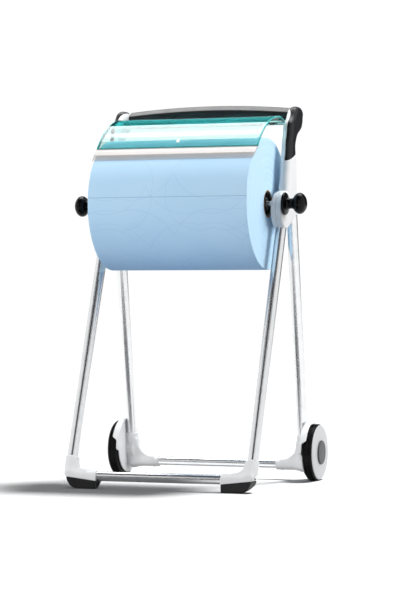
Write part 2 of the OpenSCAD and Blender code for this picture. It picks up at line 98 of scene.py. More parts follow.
def revolve(name, profile, y, z, side, segments=96, closed=True):
    """Turns [radius, x] points about an X axis. Points with radius 0 close on the axis."""
    verts, rows = [], []
    for r, x in profile:
        if r < 1e-6:
            rows.append([len(verts)] * segments)
            verts.append((side * x, y, z))
            continue
        row = []
        for k in range(segments):
            a = 2 * math.pi * k / segments
            row.append(len(verts))
            verts.append((side * x, y + r * math.cos(a), z + r * math.sin(a)))
        rows.append(row)
    faces = []
    pairs = list(zip(rows, rows[1:])) + ([(rows[-1], rows[0])] if closed else [])
    for a, b in pairs:
        for k in range(segments):
            j = (k + 1) % segments
            face = list(dict.fromkeys([a[k], a[j], b[j], b[k]]))
            if len(face) > 2:
                faces.append(face)
    ob = mesh_object(name, verts, faces)
    fix_normals(ob)
    return sharpen(ob, 32)


def fix_normals(ob, merge=True):
    """Points every face outwards. With merge, points in the same place are joined first."""
    bm = bmesh.new()
    bm.from_mesh(ob.data)
    if merge:
        bmesh.ops.remove_doubles(bm, verts=bm.verts, dist=1e-7)
    bmesh.ops.recalc_face_normals(bm, faces=bm.faces)
    bm.to_mesh(ob.data)
    bm.free()
    return ob


def ring_faces(rings, around):
    """Quads between neighbouring rings of points, with the last ring joined to the first."""
    faces = []
    for i in range(rings):
        i2 = (i + 1) % rings
        for k in range(around):
            j = (k + 1) % around
            faces.append((i * around + k, i2 * around + k, i2 * around + j, i * around + j))
    return faces


def rounded(points, radius, steps=5):
    """Rounds every corner of a closed outline of [u, v] points, except those on the axis."""
    out = []
    n = len(points)
    for i, p in enumerate(points):
        r = radius[i] if isinstance(radius, (list, tuple)) else radius
        p = np.array(p, float)
        a = np.array(points[i - 1], float) - p
        b = np.array(points[(i + 1) % n], float) - p
        la, lb = np.linalg.norm(a), np.linalg.norm(b)
        r = min(r, la * 0.45, lb * 0.45)
        if r < 0.05 or p[0] < 1e-6:
            out.append(tuple(p))
            continue
        p0, p1 = p + a / la * r, p + b / lb * r
        for k in range(steps + 1):
            t = k / steps
            out.append(tuple((1 - t) ** 2 * p0 + 2 * t * (1 - t) * p + t * t * p1))
    return out


def tube(name, a, b, r, wall, segments=64):
    """A steel tube from a to b, with bevelled ends."""
    a, b = np.array(a, float), np.array(b, float)
    axis = (b - a) / np.linalg.norm(b - a)
    u = np.cross(axis, [0, 1, 0.001])
    u /= np.linalg.norm(u)
    v = np.cross(axis, u)
    length = np.linalg.norm(b - a)
    profile = [(r - wall, 0), (r - 0.5, 0), (r, 0.5), (r, length - 0.5), (r - 0.5, length),
               (r - wall, length)]
    verts = []
    for rr, t in profile:
        for k in range(segments):
            ang = 2 * math.pi * k / segments
            verts.append(a + axis * t + rr * (u * math.cos(ang) + v * math.sin(ang)))
    ob = mesh_object(name, verts, ring_faces(len(profile), segments))
    fix_normals(ob)
    return sharpen(ob, 40)


# ---- fields: smooth solids as signed distances ----
def smin(a, b, k):
    """The smaller of two fields, blended where they differ by less than k."""
    h = np.clip(0.5 + 0.5 * (b - a) / k, 0, 1)
    return b * (1 - h) + a * h - k * h * (1 - h)


def smax(a, b, k):
    return -smin(-a, -b, k)


def ease(value, start, span):
    """0 below start, 1 above start + span, and an S-shaped rise between them."""
    t = np.clip((value - start) / span, 0, 1)
    return t * t * (3 - 2 * t)


def rod(x, y, z, at, axis, h0, h1, r, round_r=1.0):
    """A capped rod from at + h0 axis to at + h1 axis, with rounded ends."""
    dx, dy, dz = x - at[0], y - at[1], z - at[2]
    t = dx * axis[0] + dy * axis[1] + dz * axis[2]
    q = np.sqrt(np.maximum(dx * dx + dy * dy + dz * dz - t * t, 0)) - r + round_r
    e = np.abs(t - (h0 + h1) / 2) - (h1 - h0) / 2 + round_r
    return (np.minimum(np.maximum(q, e), 0)
            + np.hypot(np.maximum(q, 0), np.maximum(e, 0)) - round_r)


def chain(y, z, discs, pairs, k):
    """Tapered bars between discs [y, z, radius], blended over k."""
    out = None
    for i, j in pairs:
        ya, za, ra = discs[i]
        yb, zb, rb = discs[j]
        dy, dz = yb - ya, zb - za
        t = np.clip(((y - ya) * dy + (z - za) * dz) / (dy * dy + dz * dz), 0, 1)
        d = np.hypot(y - ya - dy * t, z - za - dz * t) - (ra + (rb - ra) * t)
        out = d if out is None else smin(out, d, k)
    return out


def field_mesh(name, field, lo, hi, step, side=1):
    """The closed surface where field(x, y, z) is 0, in a box, as quads on a grid of step."""
    count = [int(math.ceil((b - a) / step)) + 3 for a, b in zip(lo, hi)]
    axes = [lo[i] - step + step * np.arange(count[i]) for i in range(3)]
    v = field(*np.meshgrid(*axes, indexing="ij"))
    for axis in range(3):
        ends = [slice(None)] * 3
        for end in (0, -1):
            ends[axis] = end
            v[tuple(ends)] = np.maximum(v[tuple(ends)], 0.01)
    inside = v < 0
    cells = tuple(c - 1 for c in count)
    acc = np.zeros(cells + (3,))
    num = np.zeros(cells)

    def part(arr, offset):
        return arr[tuple(slice(o, o + c) for o, c in zip(offset, cells))]

    for axis in range(3):
        others = [a for a in range(3) if a != axis]
        for p in (0, 1):
            for q in (0, 1):
                o0 = [0, 0, 0]
                o0[others[0]], o0[others[1]] = p, q
                o1 = list(o0)
                o1[axis] = 1
                a, b = part(v, o0), part(v, o1)
                cross = (a < 0) != (b < 0)
                t = np.where(cross, a / np.where(cross, a - b, 1), 0)
                for d in range(3):
                    acc[..., d] += cross * (t if d == axis else o0[d])
                num += cross
    active = num > 0
    index = -np.ones(cells, int)
    index[active] = np.arange(active.sum())
    where = np.argwhere(active)
    pts = np.array([axes[i][0] for i in range(3)]) + step * (where + acc[active] / num[active][:, None])
    quads = []
    for axis in range(3):
        u, w = (axis + 1) % 3, (axis + 2) % 3
        s0, s1 = [slice(None)] * 3, [slice(None)] * 3
        s0[axis], s1[axis] = slice(0, -1), slice(1, None)
        a, b = inside[tuple(s0)], inside[tuple(s1)]
        e = np.argwhere(a != b)
        e = e[(e[:, u] > 0) & (e[:, w] > 0) & (e[:, u] < count[u] - 1) & (e[:, w] < count[w] - 1)]
        flip = a[tuple(e.T)]
        du, dw = np.eye(3, dtype=int)[u], np.eye(3, dtype=int)[w]
        ring = np.stack([index[tuple((e - du - dw).T)], index[tuple((e - dw).T)],
                         index[tuple(e.T)], index[tuple((e - du).T)]], axis=1)
        ring[~flip] = ring[~flip][:, ::-1]
        quads.append(ring)
    quads = np.vstack(quads)
    h = step * 0.1
    for _ in range(4):
        f = field(pts[:, 0], pts[:, 1], pts[:, 2])
        g = np.stack([(field(*(pts + h * d).T) - field(*(pts - h * d).T)) / (2 * h)
                      for d in np.eye(3)], axis=1)
        n2 = np.maximum((g * g).sum(1), 0.05)
        move = -(f / n2)[:, None] * g
        size = np.linalg.norm(move, axis=1)
        pts = pts + move * np.minimum(1, 0.5 * step / np.maximum(size, 1e-9))[:, None]
    if side < 0:
        pts = pts * [-1, 1, 1]
        quads = quads[:, ::-1]
    return mesh_object(name, pts, quads)


# ---- materials ----
class Nodes:
    """A Principled material whose colour, roughness and bump come from node textures."""

    def __init__(self, name, **sockets):
        self.mat = bpy.data.materials.new(name)
        self.mat.use_nodes = True
        self.tree = self.mat.node_tree
        self.bsdf = self.tree.nodes["Principled BSDF"]
        for key, value in sockets.items():
            self.bsdf.inputs[key.replace("_", " ")].default_value = value
        self.coords = self.add("ShaderNodeTexCoord").outputs["Object"]

    def add(self, kind, **settings):
        node = self.tree.nodes.new(kind)
        for key, value in settings.items():
            setattr(node, key, value)
        return node

    def link(self, a, b):
        self.tree.links.new(a, b)

    def put(self, socket, value):
        if isinstance(value, (int, float, tuple)):
            socket.default_value = value
        else:
            self.link(value, socket)

    def math(self, op, a, b=0.0):
        node = self.add("ShaderNodeMath", operation=op)
        for i, value in enumerate((a, b)):
            self.put(node.inputs[i], value)
        return node.outputs[0]

    def times(self, a, b):
        return self.math("MULTIPLY", a, b)

    def minus(self, a, b):
        return self.math("SUBTRACT", a, b)

    def noise(self, scale, detail=2.0, rough=0.5):
        node = self.add("ShaderNodeTexNoise")
        self.link(self.coords, node.inputs["Vector"])
        node.inputs["Scale"].default_value = scale
        node.inputs["Detail"].default_value = detail
        node.inputs["Roughness"].default_value = rough
        return node.outputs["Fac"]

    def spread(self, fac, lo, hi, a=0.3, b=0.7):
        """lo where fac is a or less, hi where it is b or more, and a straight line between them."""
        node = self.add("ShaderNodeMapRange")
        for key, value in (("Value", fac), ("From Min", a), ("From Max", b), ("To Min", lo), ("To Max", hi)):
            self.put(node.inputs[key], value)
        return node.outputs[0]

    def mix(self, fac, a, b):
        node = self.add("ShaderNodeMix", data_type="RGBA")
        self.put(node.inputs[0], fac)
        self.put(node.inputs[6], a)
        self.put(node.inputs[7], b)
        return node.outputs[2]

    def colour(self, value):
        self.put(self.bsdf.inputs["Base Color"], value)

    def rough(self, value):
        self.put(self.bsdf.inputs["Roughness"], value)

    def bump(self, height, strength=0.2, distance=0.0005):
        node = self.add("ShaderNodeBump")
        node.inputs["Strength"].default_value = strength
        node.inputs["Distance"].default_value = distance
        self.link(height, node.inputs["Height"])
        self.link(node.outputs[0], self.bsdf.inputs["Normal"])

    def around(self, at_y, at_z):
        """x, y and z from an axis along X at these places in mm, and the distance from that axis."""
        node = self.add("ShaderNodeSeparateXYZ")
        self.link(self.coords, node.inputs[0])
        x, y, z = node.outputs
        dy, dz = self.minus(y, at_y * MM), self.minus(z, at_z * MM)
        return x, dy, dz, self.math("SQRT", self.math("ADD", self.times(dy, dy), self.times(dz, dz)))


def moulded(name, base, shade, rough=0.35, grain=900, strength=0.08, **sockets):
    """Injection-moulded plastic: faint tone drift, a fine grain and slightly uneven gloss."""
    m = Nodes(name, **sockets)
    m.colour(m.mix(m.spread(m.noise(14, 3), 0.0, 1.0), (*base, 1), (*shade, 1)))
    m.rough(m.spread(m.noise(60, 4), rough - 0.05, rough + 0.06))
    m.bump(m.noise(grain, 2), strength, 0.0002)
    return m.mat


def steel(name, base, rough):
    """Polished metal with a faint drift in tone and gloss."""
    m = Nodes(name, Metallic=1.0)
    dark = tuple(c * 0.93 for c in base)
    m.colour(m.mix(m.spread(m.noise(30, 3), 0.0, 1.0), (*base, 1), (*dark, 1)))
    m.rough(m.spread(m.noise(60, 3), rough * 0.9, rough * 1.12))
    return m.mat


white_plastic = moulded("white_plastic", (0.86, 0.87, 0.88), (0.82, 0.83, 0.845), 0.33,
                        Specular_IOR_Level=0.45)
black_plastic = moulded("black_plastic", (0.007, 0.007, 0.008), (0.011, 0.011, 0.012), 0.3, 1200, 0.12,
                        Specular_IOR_Level=0.25)
black_grip = moulded("black_grip", (0.008, 0.009, 0.01), (0.012, 0.012, 0.014), 0.32, 700, 0.08,
                     Specular_IOR_Level=0.35)
knob_gloss = moulded("knob_gloss", (0.002, 0.002, 0.0025), (0.003, 0.003, 0.004), 0.14, 500, 0.03,
                     Specular_IOR_Level=0.14)
foot_rubber = moulded("foot_rubber", (0.012, 0.012, 0.013), (0.018, 0.018, 0.019), 0.55, 1500, 0.3,
                      Specular_IOR_Level=0.3)
wheel_plastic = moulded("wheel_plastic", (0.62, 0.63, 0.645), (0.58, 0.59, 0.605), 0.38)
cap_plastic = moulded("cap_plastic", (0.068, 0.068, 0.072), (0.055, 0.055, 0.06), 0.45, 1000, 0.15)
nylon = moulded("nylon", (0.78, 0.77, 0.73), (0.72, 0.71, 0.68), 0.42)
tear_plastic = moulded("tear_plastic", (0.56, 0.53, 0.52), (0.53, 0.505, 0.495), 0.4)
# Painted shade: the dark plastic for the side walls of the tear bar's teeth, where shade falls between them.
tear_painted_shade = moulded("tear_painted_shade", (0.12, 0.115, 0.115), (0.15, 0.145, 0.14), 0.6)
tab_plastic = moulded("tab_plastic", (0.8, 0.88, 0.88), (0.74, 0.84, 0.84), 0.35)
chrome = steel("chrome", (0.85, 0.86, 0.87), 0.25)
spring_steel = steel("spring_steel", (0.42, 0.43, 0.45), 0.28)
screw_steel = steel("screw_steel", (0.7, 0.71, 0.73), 0.2)


def tyre_material():
    """Black rubber: the block tops are painted lighter, unevenly, as painted highlight, and the grooves
    darkest, as painted shade.
    """
    m = Nodes("tyre_rubber", Specular_IOR_Level=0.14)
    radius = m.around(WHEEL_Y, WHEEL_Z)[-1]
    top = m.spread(radius, 0.0, 1.0, (WHEEL_R - 1.3) * MM, (WHEEL_R - 0.1) * MM)
    # painted light: the lighter tops stand in for highlights, the darkest grooves for shade
    lit_tops_shaded_grooves = m.times(m.spread(m.noise(45, 5, 0.65), 0.5, 1.0, 0.4, 0.75), top)
    m.colour(m.mix(lit_tops_shaded_grooves, (0.002, 0.002, 0.0022, 1), (0.014, 0.014, 0.0145, 1)))
    m.rough(m.spread(m.noise(90, 4), 0.3, 0.45))
    m.bump(m.noise(1500, 3), 0.2, 0.0003)
    return m.mat


def lid_material(name, clear, deep):
    """Clear tinted sheet: its colour deepens where the sheet turns away, as a longer path does."""
    m = Nodes(name, Transmission_Weight=1.0, IOR=1.38)
    turned = m.add("ShaderNodeLayerWeight")
    turned.inputs["Blend"].default_value = 0.5
    drift = m.times(m.noise(9, 2), 0.04)
    fac = m.spread(m.math("ADD", turned.outputs["Facing"], drift), 0.0, 1.0, 0.5, 0.66)
    m.colour(m.mix(fac, (*clear, 1), (*deep, 1)))
    m.rough(m.spread(m.noise(50, 3), 0.015, 0.04))
    m.bump(m.noise(24, 2), 0.02, 0.0004)
    return m.mat


def paper_material():
    """Blue embossed wiper paper: long crossing arcs, fibre, and a faint unevenness."""
    m = Nodes("paper", Roughness=0.95, Specular_IOR_Level=0.05, Sheen_Weight=0.05)
    x, dy, dz, radius = m.around(ROLL_Y, ROLL_Z)
    turn = m.times(m.math("ARCTAN2", dy, dz), ROLL_R * MM)
    skin = m.spread(radius, 0.0, 1.0, (ROLL_R - 1.6) * MM, (ROLL_R - 0.9) * MM)
    lines = None
    pitch = 0.145
    for cx, cs, r, width in ((0.0, 0.0, 0.118, 0.0016), (0.072, 0.036, 0.118, 0.0014),
                             (0.036, 0.108, 0.09, 0.0014), (0.108, 0.072, 0.15, 0.0012),
                             (0.02, 0.06, 0.17, 0.0012)):
        u = m.minus(m.math("PINGPONG", m.math("ADD", x, cx + 1.0), pitch), pitch * 0.25)
        v = m.minus(m.math("PINGPONG", m.math("ADD", turn, cs + 1.0), pitch), pitch * 0.1)
        d = m.math("SQRT", m.math("ADD", m.times(u, u), m.times(v, v)))
        line = m.minus(1.0, m.spread(m.math("ABSOLUTE", m.minus(d, r)), 0, 1, 0, width))
        lines = line if lines is None else m.math("MAXIMUM", lines, line)
    lines = m.times(lines, skin)
    fibre = m.noise(700, 4, 0.7)
    cloud = m.noise(9, 3)
    base = m.mix(m.spread(cloud, 0.0, 1.0), (0.53, 0.76, 0.97, 1), (0.5, 0.735, 0.955, 1))
    rings = m.add("ShaderNodeTexNoise", noise_dimensions="1D")
    m.put(rings.inputs["W"], m.times(radius, 900.0))
    end = m.mix(m.spread(rings.outputs["Fac"], 0.0, 1.0), (0.56, 0.78, 0.97, 1), (0.5, 0.73, 0.95, 1))
    tone = m.mix(skin, end, base)
    # The perforation line: dashes of a darker paper blue, painted shade in the cuts, over a shallow dent in
    # the mesh.
    seam = m.math("ABSOLUTE", m.minus(turn, PERFORATION * ROLL_R * MM))
    seam = m.times(m.spread(seam, 1.0, 0.0, 0.0002, 0.0011), skin)
    dashes = m.spread(m.math("FRACT", m.times(x, 130.0)), 0.35, 1.0, 0.15, 0.3)
    tone = m.mix(m.times(m.times(seam, dashes), 0.75), tone, (0.16, 0.27, 0.45, 1))
    # The embossed arcs are also darkened in colour: painted shade in the creases, besides their bump.
    m.colour(m.mix(m.times(lines, 0.2), tone, (0.2, 0.38, 0.7, 1)))
    height = m.math("ADD", m.times(fibre, 0.25), m.times(lines, -1.0))
    height = m.math("ADD", height, m.times(m.minus(1.0, skin),
                                          m.times(rings.outputs["Fac"], 0.8)))
    m.bump(height, 0.35, 0.0004)
    return m.mat


def cardboard_material():
    m = Nodes("cardboard", Roughness=0.9, Specular_IOR_Level=0.15)
    m.colour(m.mix(m.spread(m.noise(240, 5, 0.7), 0.0, 1.0), (0.4, 0.235, 0.11, 1), (0.3, 0.17, 0.08, 1)))
    m.bump(m.noise(900, 3, 0.7), 0.3, 0.0003)
    return m.mat


tyre_rubber = tyre_material()
lid_sheet = lid_material("lid_sheet", (0.5, 0.78, 0.74), (0.002, 0.2, 0.21))
lid_edge = moulded("lid_edge", (0.01, 0.33, 0.33), (0.01, 0.37, 0.37), 0.25)
paper = paper_material()
cardboard = cardboard_material()

# ---- steel tubes ----
FRONT_LEG_END = (FRONT_LEG_TOP - FRONT_Z) / math.cos(FRONT_LEAN)
REAR_LEG_END = (REAR_LEG_TOP - REAR_Z) / math.cos(REAR_LEAN)
CROSS_HALF = LEG_X - LEG_R - 6
for name, side in SIDES:
    flip = np.array([side, 1, 1])
    leg = tube(f"front_leg_tube_{name}", (FRONT_AT + FRONT_DIR * FRONT_START) * flip,
               (FRONT_AT + FRONT_DIR * FRONT_LEG_END) * flip, LEG_R, TUBE_WALL)
    finish_piece(leg, "stand", "chrome_steel", chrome, f"front_{name}_leg")
    leg = tube(f"rear_leg_tube_{name}", (REAR_AT + REAR_DIR * REAR_START) * flip,
               (REAR_AT + REAR_DIR * REAR_LEG_END) * flip, LEG_R, TUBE_WALL)
    finish_piece(leg, "stand", "chrome_steel", chrome, f"rear_{name}_leg")
for name, y, z in (("front", FRONT_Y, FRONT_Z), ("rear", REAR_Y, REAR_Z)):
    cross = tube(f"{name}_cross_bar", (-CROSS_HALF, y, z), (CROSS_HALF, y, z), CROSS_R, TUBE_WALL)
    finish_piece(cross, "stand", "chrome_steel", chrome, f"{name}_cross_tube")


# ---- corners and feet ----
X_AXIS = np.array([1.0, 0, 0])
FOOT_IN, FOOT_OUT, FOOT_FRONT, FOOT_ROUND = 170.0, 251.0, -265.0, 33.0
GUARD_X, GUARD_R, LIP_OUT = 259.0, 83.0, 291.0
HUB_BOSS_R, AXLE_BORE_R = 21.0, 6.05
CORNER_SCREW_X = 184.0


def elbow_field(x, y, z, at, axis, rise, fillet, half_web, blend):
    """A corner moulding: a sleeve for the leg, one for the cross tube, and a web between them."""
    leg = rod(x, y, z, at, axis, -LEG_SLEEVE_R * 0.4, rise, LEG_SLEEVE_R, 1.6)
    cross = rod(x, y, z, np.array([SLEEVE_MOUTH_X, at[1], at[2]]), X_AXIS,
                0, LEG_X - SLEEVE_MOUTH_X, SLEEVE_R, 1.4)
    ball = np.sqrt((x - at[0]) ** 2 + (y - at[1]) ** 2 + (z - at[2]) ** 2) - LEG_SLEEVE_R
    up = (y - at[1]) * axis[1] + (z - at[2]) * axis[2]
    across = (y - at[1]) * axis[2] - (z - at[2]) * axis[1]
    cx, cz = LEG_X - LEG_SLEEVE_R - fillet, SLEEVE_R + fillet
    web = fillet - np.hypot(x - cx, up - cz)
    web = np.maximum(web, np.maximum(cx - x, x - LEG_X))
    web = np.maximum(web, np.maximum(up - cz, -up))
    web = smax(web, np.abs(across) - half_web, 5)
    body = smin(smin(leg, ball, 3), cross, blend)
    return smin(body, web, 9)


def socket_field(x, y, z, at, axis, start):
    """The space that the leg tube and the cross tube take up in a corner moulding."""
    leg = rod(x, y, z, at, axis, start, 200, LEG_R + 0.15, 0.2)
    cross = rod(x, y, z, np.array([SLEEVE_MOUTH_X - 20, at[1], at[2]]), X_AXIS,
                0, CROSS_HALF - SLEEVE_MOUTH_X + 20, CROSS_R + 0.15, 0.2)
    return np.minimum(leg, cross)


def foot_shape(x, y, z, grow=0.0):
    """The boat-shaped foot: round towards the outer side, sloped at the back."""
    bend_x = FOOT_OUT - FOOT_ROUND
    outer = np.where((x > bend_x) & (z < FOOT_ROUND),
                     np.hypot(x - bend_x, z - FOOT_ROUND) - FOOT_ROUND, x - FOOT_OUT)
    ends = smax(outer, FOOT_IN - x, 1.5)
    front = FOOT_FRONT - y
    back = ((y + 245) * 18 - z * 29) / math.hypot(18, 29)
    back = smax(back, y + 216, 6)
    profile = smax(smax(front, back, 5), -z, 3.5)
    return smax(ends, profile, 3) - grow


def foot_line(x):
    """The height where the rubber pad ends and the white corner starts."""
    return 20.5 + (x - FOOT_IN) * 0.115


def front_corner_field(x, y, z):
    d = elbow_field(x, y, z, FRONT_AT, FRONT_DIR, 50, 30, 11, 14)
    foot = smax(foot_shape(x, y, z, -0.6), z - 31, 3)
    d = smin(d, foot, 6)
    bend = np.where((x > 222.7) & (z < 58), np.hypot(x - 222.7, z - 58) - 39.8, -50)
    d = smax(d, bend, 3)
    d = smax(d, foot_line(x) + 0.35 - z, 0.6)
    d = smax(d, FOOT_FRONT + 0.1 - y, 2)
    return np.maximum(d, -socket_field(x, y, z, FRONT_AT, FRONT_DIR, FRONT_START))


def pad_field(x, y, z):
    """The rubber pad. Its inner end has a pocket with one slanted rib."""
    d = smax(foot_shape(x, y, z), z - foot_line(x), 0.8)
    end = np.maximum(np.maximum(x - 174, np.abs(y + 246) - 9), np.abs(z - 11) - 5.5)
    rib = np.abs((y + 246) * 0.5 + (z - 11) * 0.87) - 1.3
    return np.maximum(d, -np.maximum(end, -rib))


def rear_corner_field(x, y, z):
    """The rear corner with the wheel's hub boss, the guard disc and the lip over the tyre."""
    d = elbow_field(x, y, z, REAR_AT, REAR_DIR, 80, 46, 10, 16)
    dy, dz = y - WHEEL_Y, z - WHEEL_Z
    r = np.hypot(dy, dz)
    boss = smax(r - HUB_BOSS_R, np.maximum(240 - x, x - 263), 2)
    d = smin(d, boss, 6)
    upper = smax(r - GUARD_R, -dz - 2, 8)
    disc = smax(smin(r - 66, upper, 10), np.abs(x - GUARD_X - 1.9) - 1.9, 1.6)
    d = smin(d, disc, 4)
    ring = np.abs(r - (GUARD_R - 1.6)) - 1.6
    edge_x = 262 + (14.5 + 12 * ease(dy, -34, 26)) * ease(dz, 22, 14)
    lip = smax(ring, (x - edge_x) * 0.7, 2.5)
    lip = smax(lip, dy * 0.9 - 14 + (x - 262) * 0.12, 6)
    lip = smax(lip, np.maximum(GUARD_X + 0.4 - x, x - LIP_OUT), 1.2)
    lip = smax(lip, 2 - dz, 4)
    d = smin(d, lip, 2.2)
    d = np.maximum(d, y - 264.8)
    axle = np.maximum(r - AXLE_BORE_R, 236 - x)
    screw = np.maximum(np.hypot(x - CORNER_SCREW_X, y - REAR_Y) - 4.2, z - (REAR_Z - SLEEVE_R + 1.0))
    d = np.maximum(d, -np.minimum(axle, screw))
    return np.maximum(d, -socket_field(x, y, z, REAR_AT, REAR_DIR, REAR_START))


MOULDED = {"white_plastic": white_plastic, "foot_rubber": foot_rubber, "black_grip": black_grip}


def on_both_sides(pieces, step):
    """Each piece is a name, a field, its box, a slot and the CAD node that it replaces."""
    for name, side in SIDES:
        for piece, field, lo, hi, slot, node in pieces:
            ob = field_mesh(f"{piece}_{name}", field, lo, hi, step, side)
            finish_piece(ob, "stand", slot, MOULDED[slot], node.format(name))


on_both_sides((
    ("front_elbow", front_corner_field, (168, -268, 18), (265, -212, 86), "white_plastic", "front_{}_corner"),
    ("foot_boot", pad_field, (168, -267, -1), (253, -214, 32), "foot_rubber", "{}_foot_pad"),
    ("rear_elbow", rear_corner_field, (168, 103, 0), (293, 268, 161), "white_plastic", "rear_{}_corner"),
), 1.5)

# ---- side arms ----
ARM_DISCS = [(3, 718, 50), (83, 724, 19), (56, 770, 42), (61, 837, 34), (62, 893, 23),
             (79, 932, 28), (116, 962, 34), (134, 976, 20)]
ARM_PAIRS = ((0, 1), (2, 3), (3, 4), (4, 5), (5, 6), (6, 7))
CUT_Y, CUT_Z, CUT_SLOPE = 31.0, 849.0, math.radians(22.5)


def arm_outline(y, z):
    body = chain(y, z, ARM_DISCS, ARM_PAIRS[1:], 7)
    boss = chain(y, z, ARM_DISCS, ARM_PAIRS[:1], 1)
    return smin(body, boss, 12)


def arm_solid(x, y, z):
    """The whole arm, shell and cover in one. Its outer edge gets rounder higher up."""
    d2 = arm_outline(y, z)
    blend = np.clip((z - 735) / 70, 0, 1)
    edge = 9 + 15 * ease(z, 735, 70)
    start = 256 - 9.5 * np.clip(blend * 1.3, 0, 1)
    q = np.clip((x - start) / (ARM_OUT - start), 0, 0.999)
    f = d2 + edge * (1 - np.sqrt(1 - q * q))
    p = np.clip((246 - x) / 16, 0, 0.999)
    f = np.maximum(f, d2 + (2 + 13 * blend) * (1 - np.sqrt(1 - p * p)))
    return smax(f, np.maximum(x - ARM_OUT, ARM_IN - x), 2.0)


def grip_top(z):
    """Where the black grip wraps inwards over the shell's top, towards the handle."""
    return ARM_SPLIT - 13 * np.clip((z - 972) / 20, 0, 1) ** 2


def cut_side(y, z):
    """Below 0 on the white cover's side of the slanted cut, above 0 on the black grip's side."""
    return -(y - CUT_Y) * math.sin(CUT_SLOPE) + (z - CUT_Z) * math.cos(CUT_SLOPE)


SCREWS = ((-18, 697), (102, 735), (50, 888), (116, 940))


def shell_field(x, y, z):
    d = smax(arm_solid(x, y, z), x - (grip_top(z) - 0.1), 0.5)
    bores = np.hypot(y - ROLL_Y, z - ROLL_Z) - 8.1
    for sy, sz in SCREWS:
        bores = np.minimum(bores, np.maximum(np.hypot(y - sy, z - sz) - 4.3, x - 232.8))
    bores = np.minimum(bores, np.maximum(np.hypot(y - HINGE_Y, z - HINGE_Z) - 3.1, x - 236))
    return np.maximum(d, -bores)


def outer_field(x, y, z):
    return smax(arm_solid(x, y, z), grip_top(z) + 0.25 - x, 0.5)


def cover_field(x, y, z):
    d = smax(outer_field(x, y, z), cut_side(y, z) + 0.25, 0.8)
    return np.maximum(d, -(np.maximum(np.hypot(y - ROLL_Y, z - ROLL_Z) - 12.05, 256.4 - x)))


def grip_field(x, y, z):
    return smax(outer_field(x, y, z), 0.15 - cut_side(y, z), 0.8)


on_both_sides((
    ("arm_inner", shell_field, (229, -50, 664), (246, 158, 999), "white_plastic", "{}_arm_shell"),
    ("arm_outer", cover_field, (243, -50, 664), (263, 108, 880), "white_plastic", "{}_arm_cover"),
    ("grip_horn", grip_field, (228, 24, 844), (263, 158, 999), "black_grip", "{}_grip_end"),
), 1.8)


# ---- handle ----
def handle():
    """A crowned bar: a sloped top face, a brow at the front and an undercut face below it."""
    outline = [(12.5, 0.0), (2.0, -1.2), (-14.5, -13.0), (-17.0, -17.5), (-9.0, -39.0), (-3.0, -46.0),
               (6.0, -46.0), (13.0, -38.0), (17.0, -14.0), (16.5, -4.0)]
    radii = [4, 14, 3, 4, 10, 6, 6, 12, 12, 6]
    shift = 40  # rounded() leaves points at or below 0 sharp, so the outline is moved and moved back
    section = [(y - shift, z) for y, z in rounded([(y + shift, z) for y, z in outline], radii, 6)]
    half, stations = ARM_IN - 0.2, 97
    around = len(section)
    verts, faces = [], []
    for i in range(stations):
        t = -1 + 2 * i / (stations - 1)
        x = half * t
        top = HANDLE_TOP - (HANDLE_CROWN - math.sqrt(HANDLE_CROWN ** 2 - x * x))
        shrink = 1 - 0.05 * abs(t) ** 6
        for py, pz in section:
            verts.append((x, HANDLE_Y + py * shrink, top + pz * shrink))
    for i in range(stations - 1):
        for k in range(around):
            j = (k + 1) % around
            faces.append((i * around + k, (i + 1) * around + k, (i + 1) * around + j, i * around + j))
    faces.append(list(range(around)))
    faces.append([(stations - 1) * around + k for k in reversed(range(around))])
    ob = mesh_object("handle_grip_bar", verts, faces)
    fix_normals(ob)
    return sharpen(ob, 50)


finish_piece(handle(), "stand", "black_grip", black_grip, "handle_bar")


# ---- lid ----
def lid_path():
    """Outer line of the lid from its front edge to the hinge, as [y, z, normal angle]."""
    pts = []
    crest = LID_Z + LID_R
    for a in (*np.linspace(50, 6, 45), *np.linspace(3, -36, 22)):
        r = math.radians(a)
        bend = LID_R if a > -4 else LID_REAR_R
        pts.append((LID_Y - bend * math.sin(r), crest - bend + bend * math.cos(r), a))
    return pts


def lid():
    """The bent sheet with rolled side rims, closed all round."""
    path = lid_path()
    thick, rim_w, rim_t, edge_band = 3.0, 3.4, 4.2, 3.6
    xs = [-LID_HALF, -LID_HALF + 0.5, -LID_HALF + rim_w, -LID_HALF + rim_w + 1.5]
    xs += list(np.linspace(-LID_HALF + 12, LID_HALF - 12, 25))
    xs += [-x for x in reversed(xs[:4])]
    verts, faces = [], []

    def section(x):
        edge = LID_HALF - abs(x)
        t = rim_t if edge < rim_w + 0.1 else thick
        inset = 0.5 if edge < 0.1 else 0.0
        return inset, t - 0.5 * (edge < 0.1)

    n = len(path)
    for x in xs:
        inset, t = section(x)
        for y, z, a in path:
            r = math.radians(a)
            verts.append((x, y + inset * math.sin(r), z - inset * math.cos(r)))
        for y, z, a in path:
            r = math.radians(a)
            verts.append((x, y + t * math.sin(r), z - t * math.cos(r)))
    front_edge = set()
    starts = [2 * n * i for i in range(len(xs))]  # each station: n outer points, then n inner ones
    for s, e in zip(starts, starts[1:]):
        for k in range(n - 1):
            faces.append((s + k, e + k, e + k + 1, s + k + 1))
            faces.append((s + n + k, s + n + k + 1, e + n + k + 1, e + n + k))
        front_edge.add(len(faces))
        faces.append((s, s + n, e + n, e))
        faces.append((s + n - 1, e + n - 1, e + 2 * n - 1, s + 2 * n - 1))
    for s in (starts[0], starts[-1]):
        for k in range(n - 1):
            faces.append((s + k, s + k + 1, s + n + k + 1, s + n + k))
    ob = mesh_object("lid_sheet", verts, faces)
    fix_normals(ob)
    sharpen(ob, 40)
    ob.data.materials.append(lid_sheet)
    ob.data.materials.append(lid_edge)
    for p in ob.data.polygons:
        if abs(p.center.x) > (LID_HALF - edge_band) * MM or p.index in front_edge:
            p.material_index = 1
    return ob


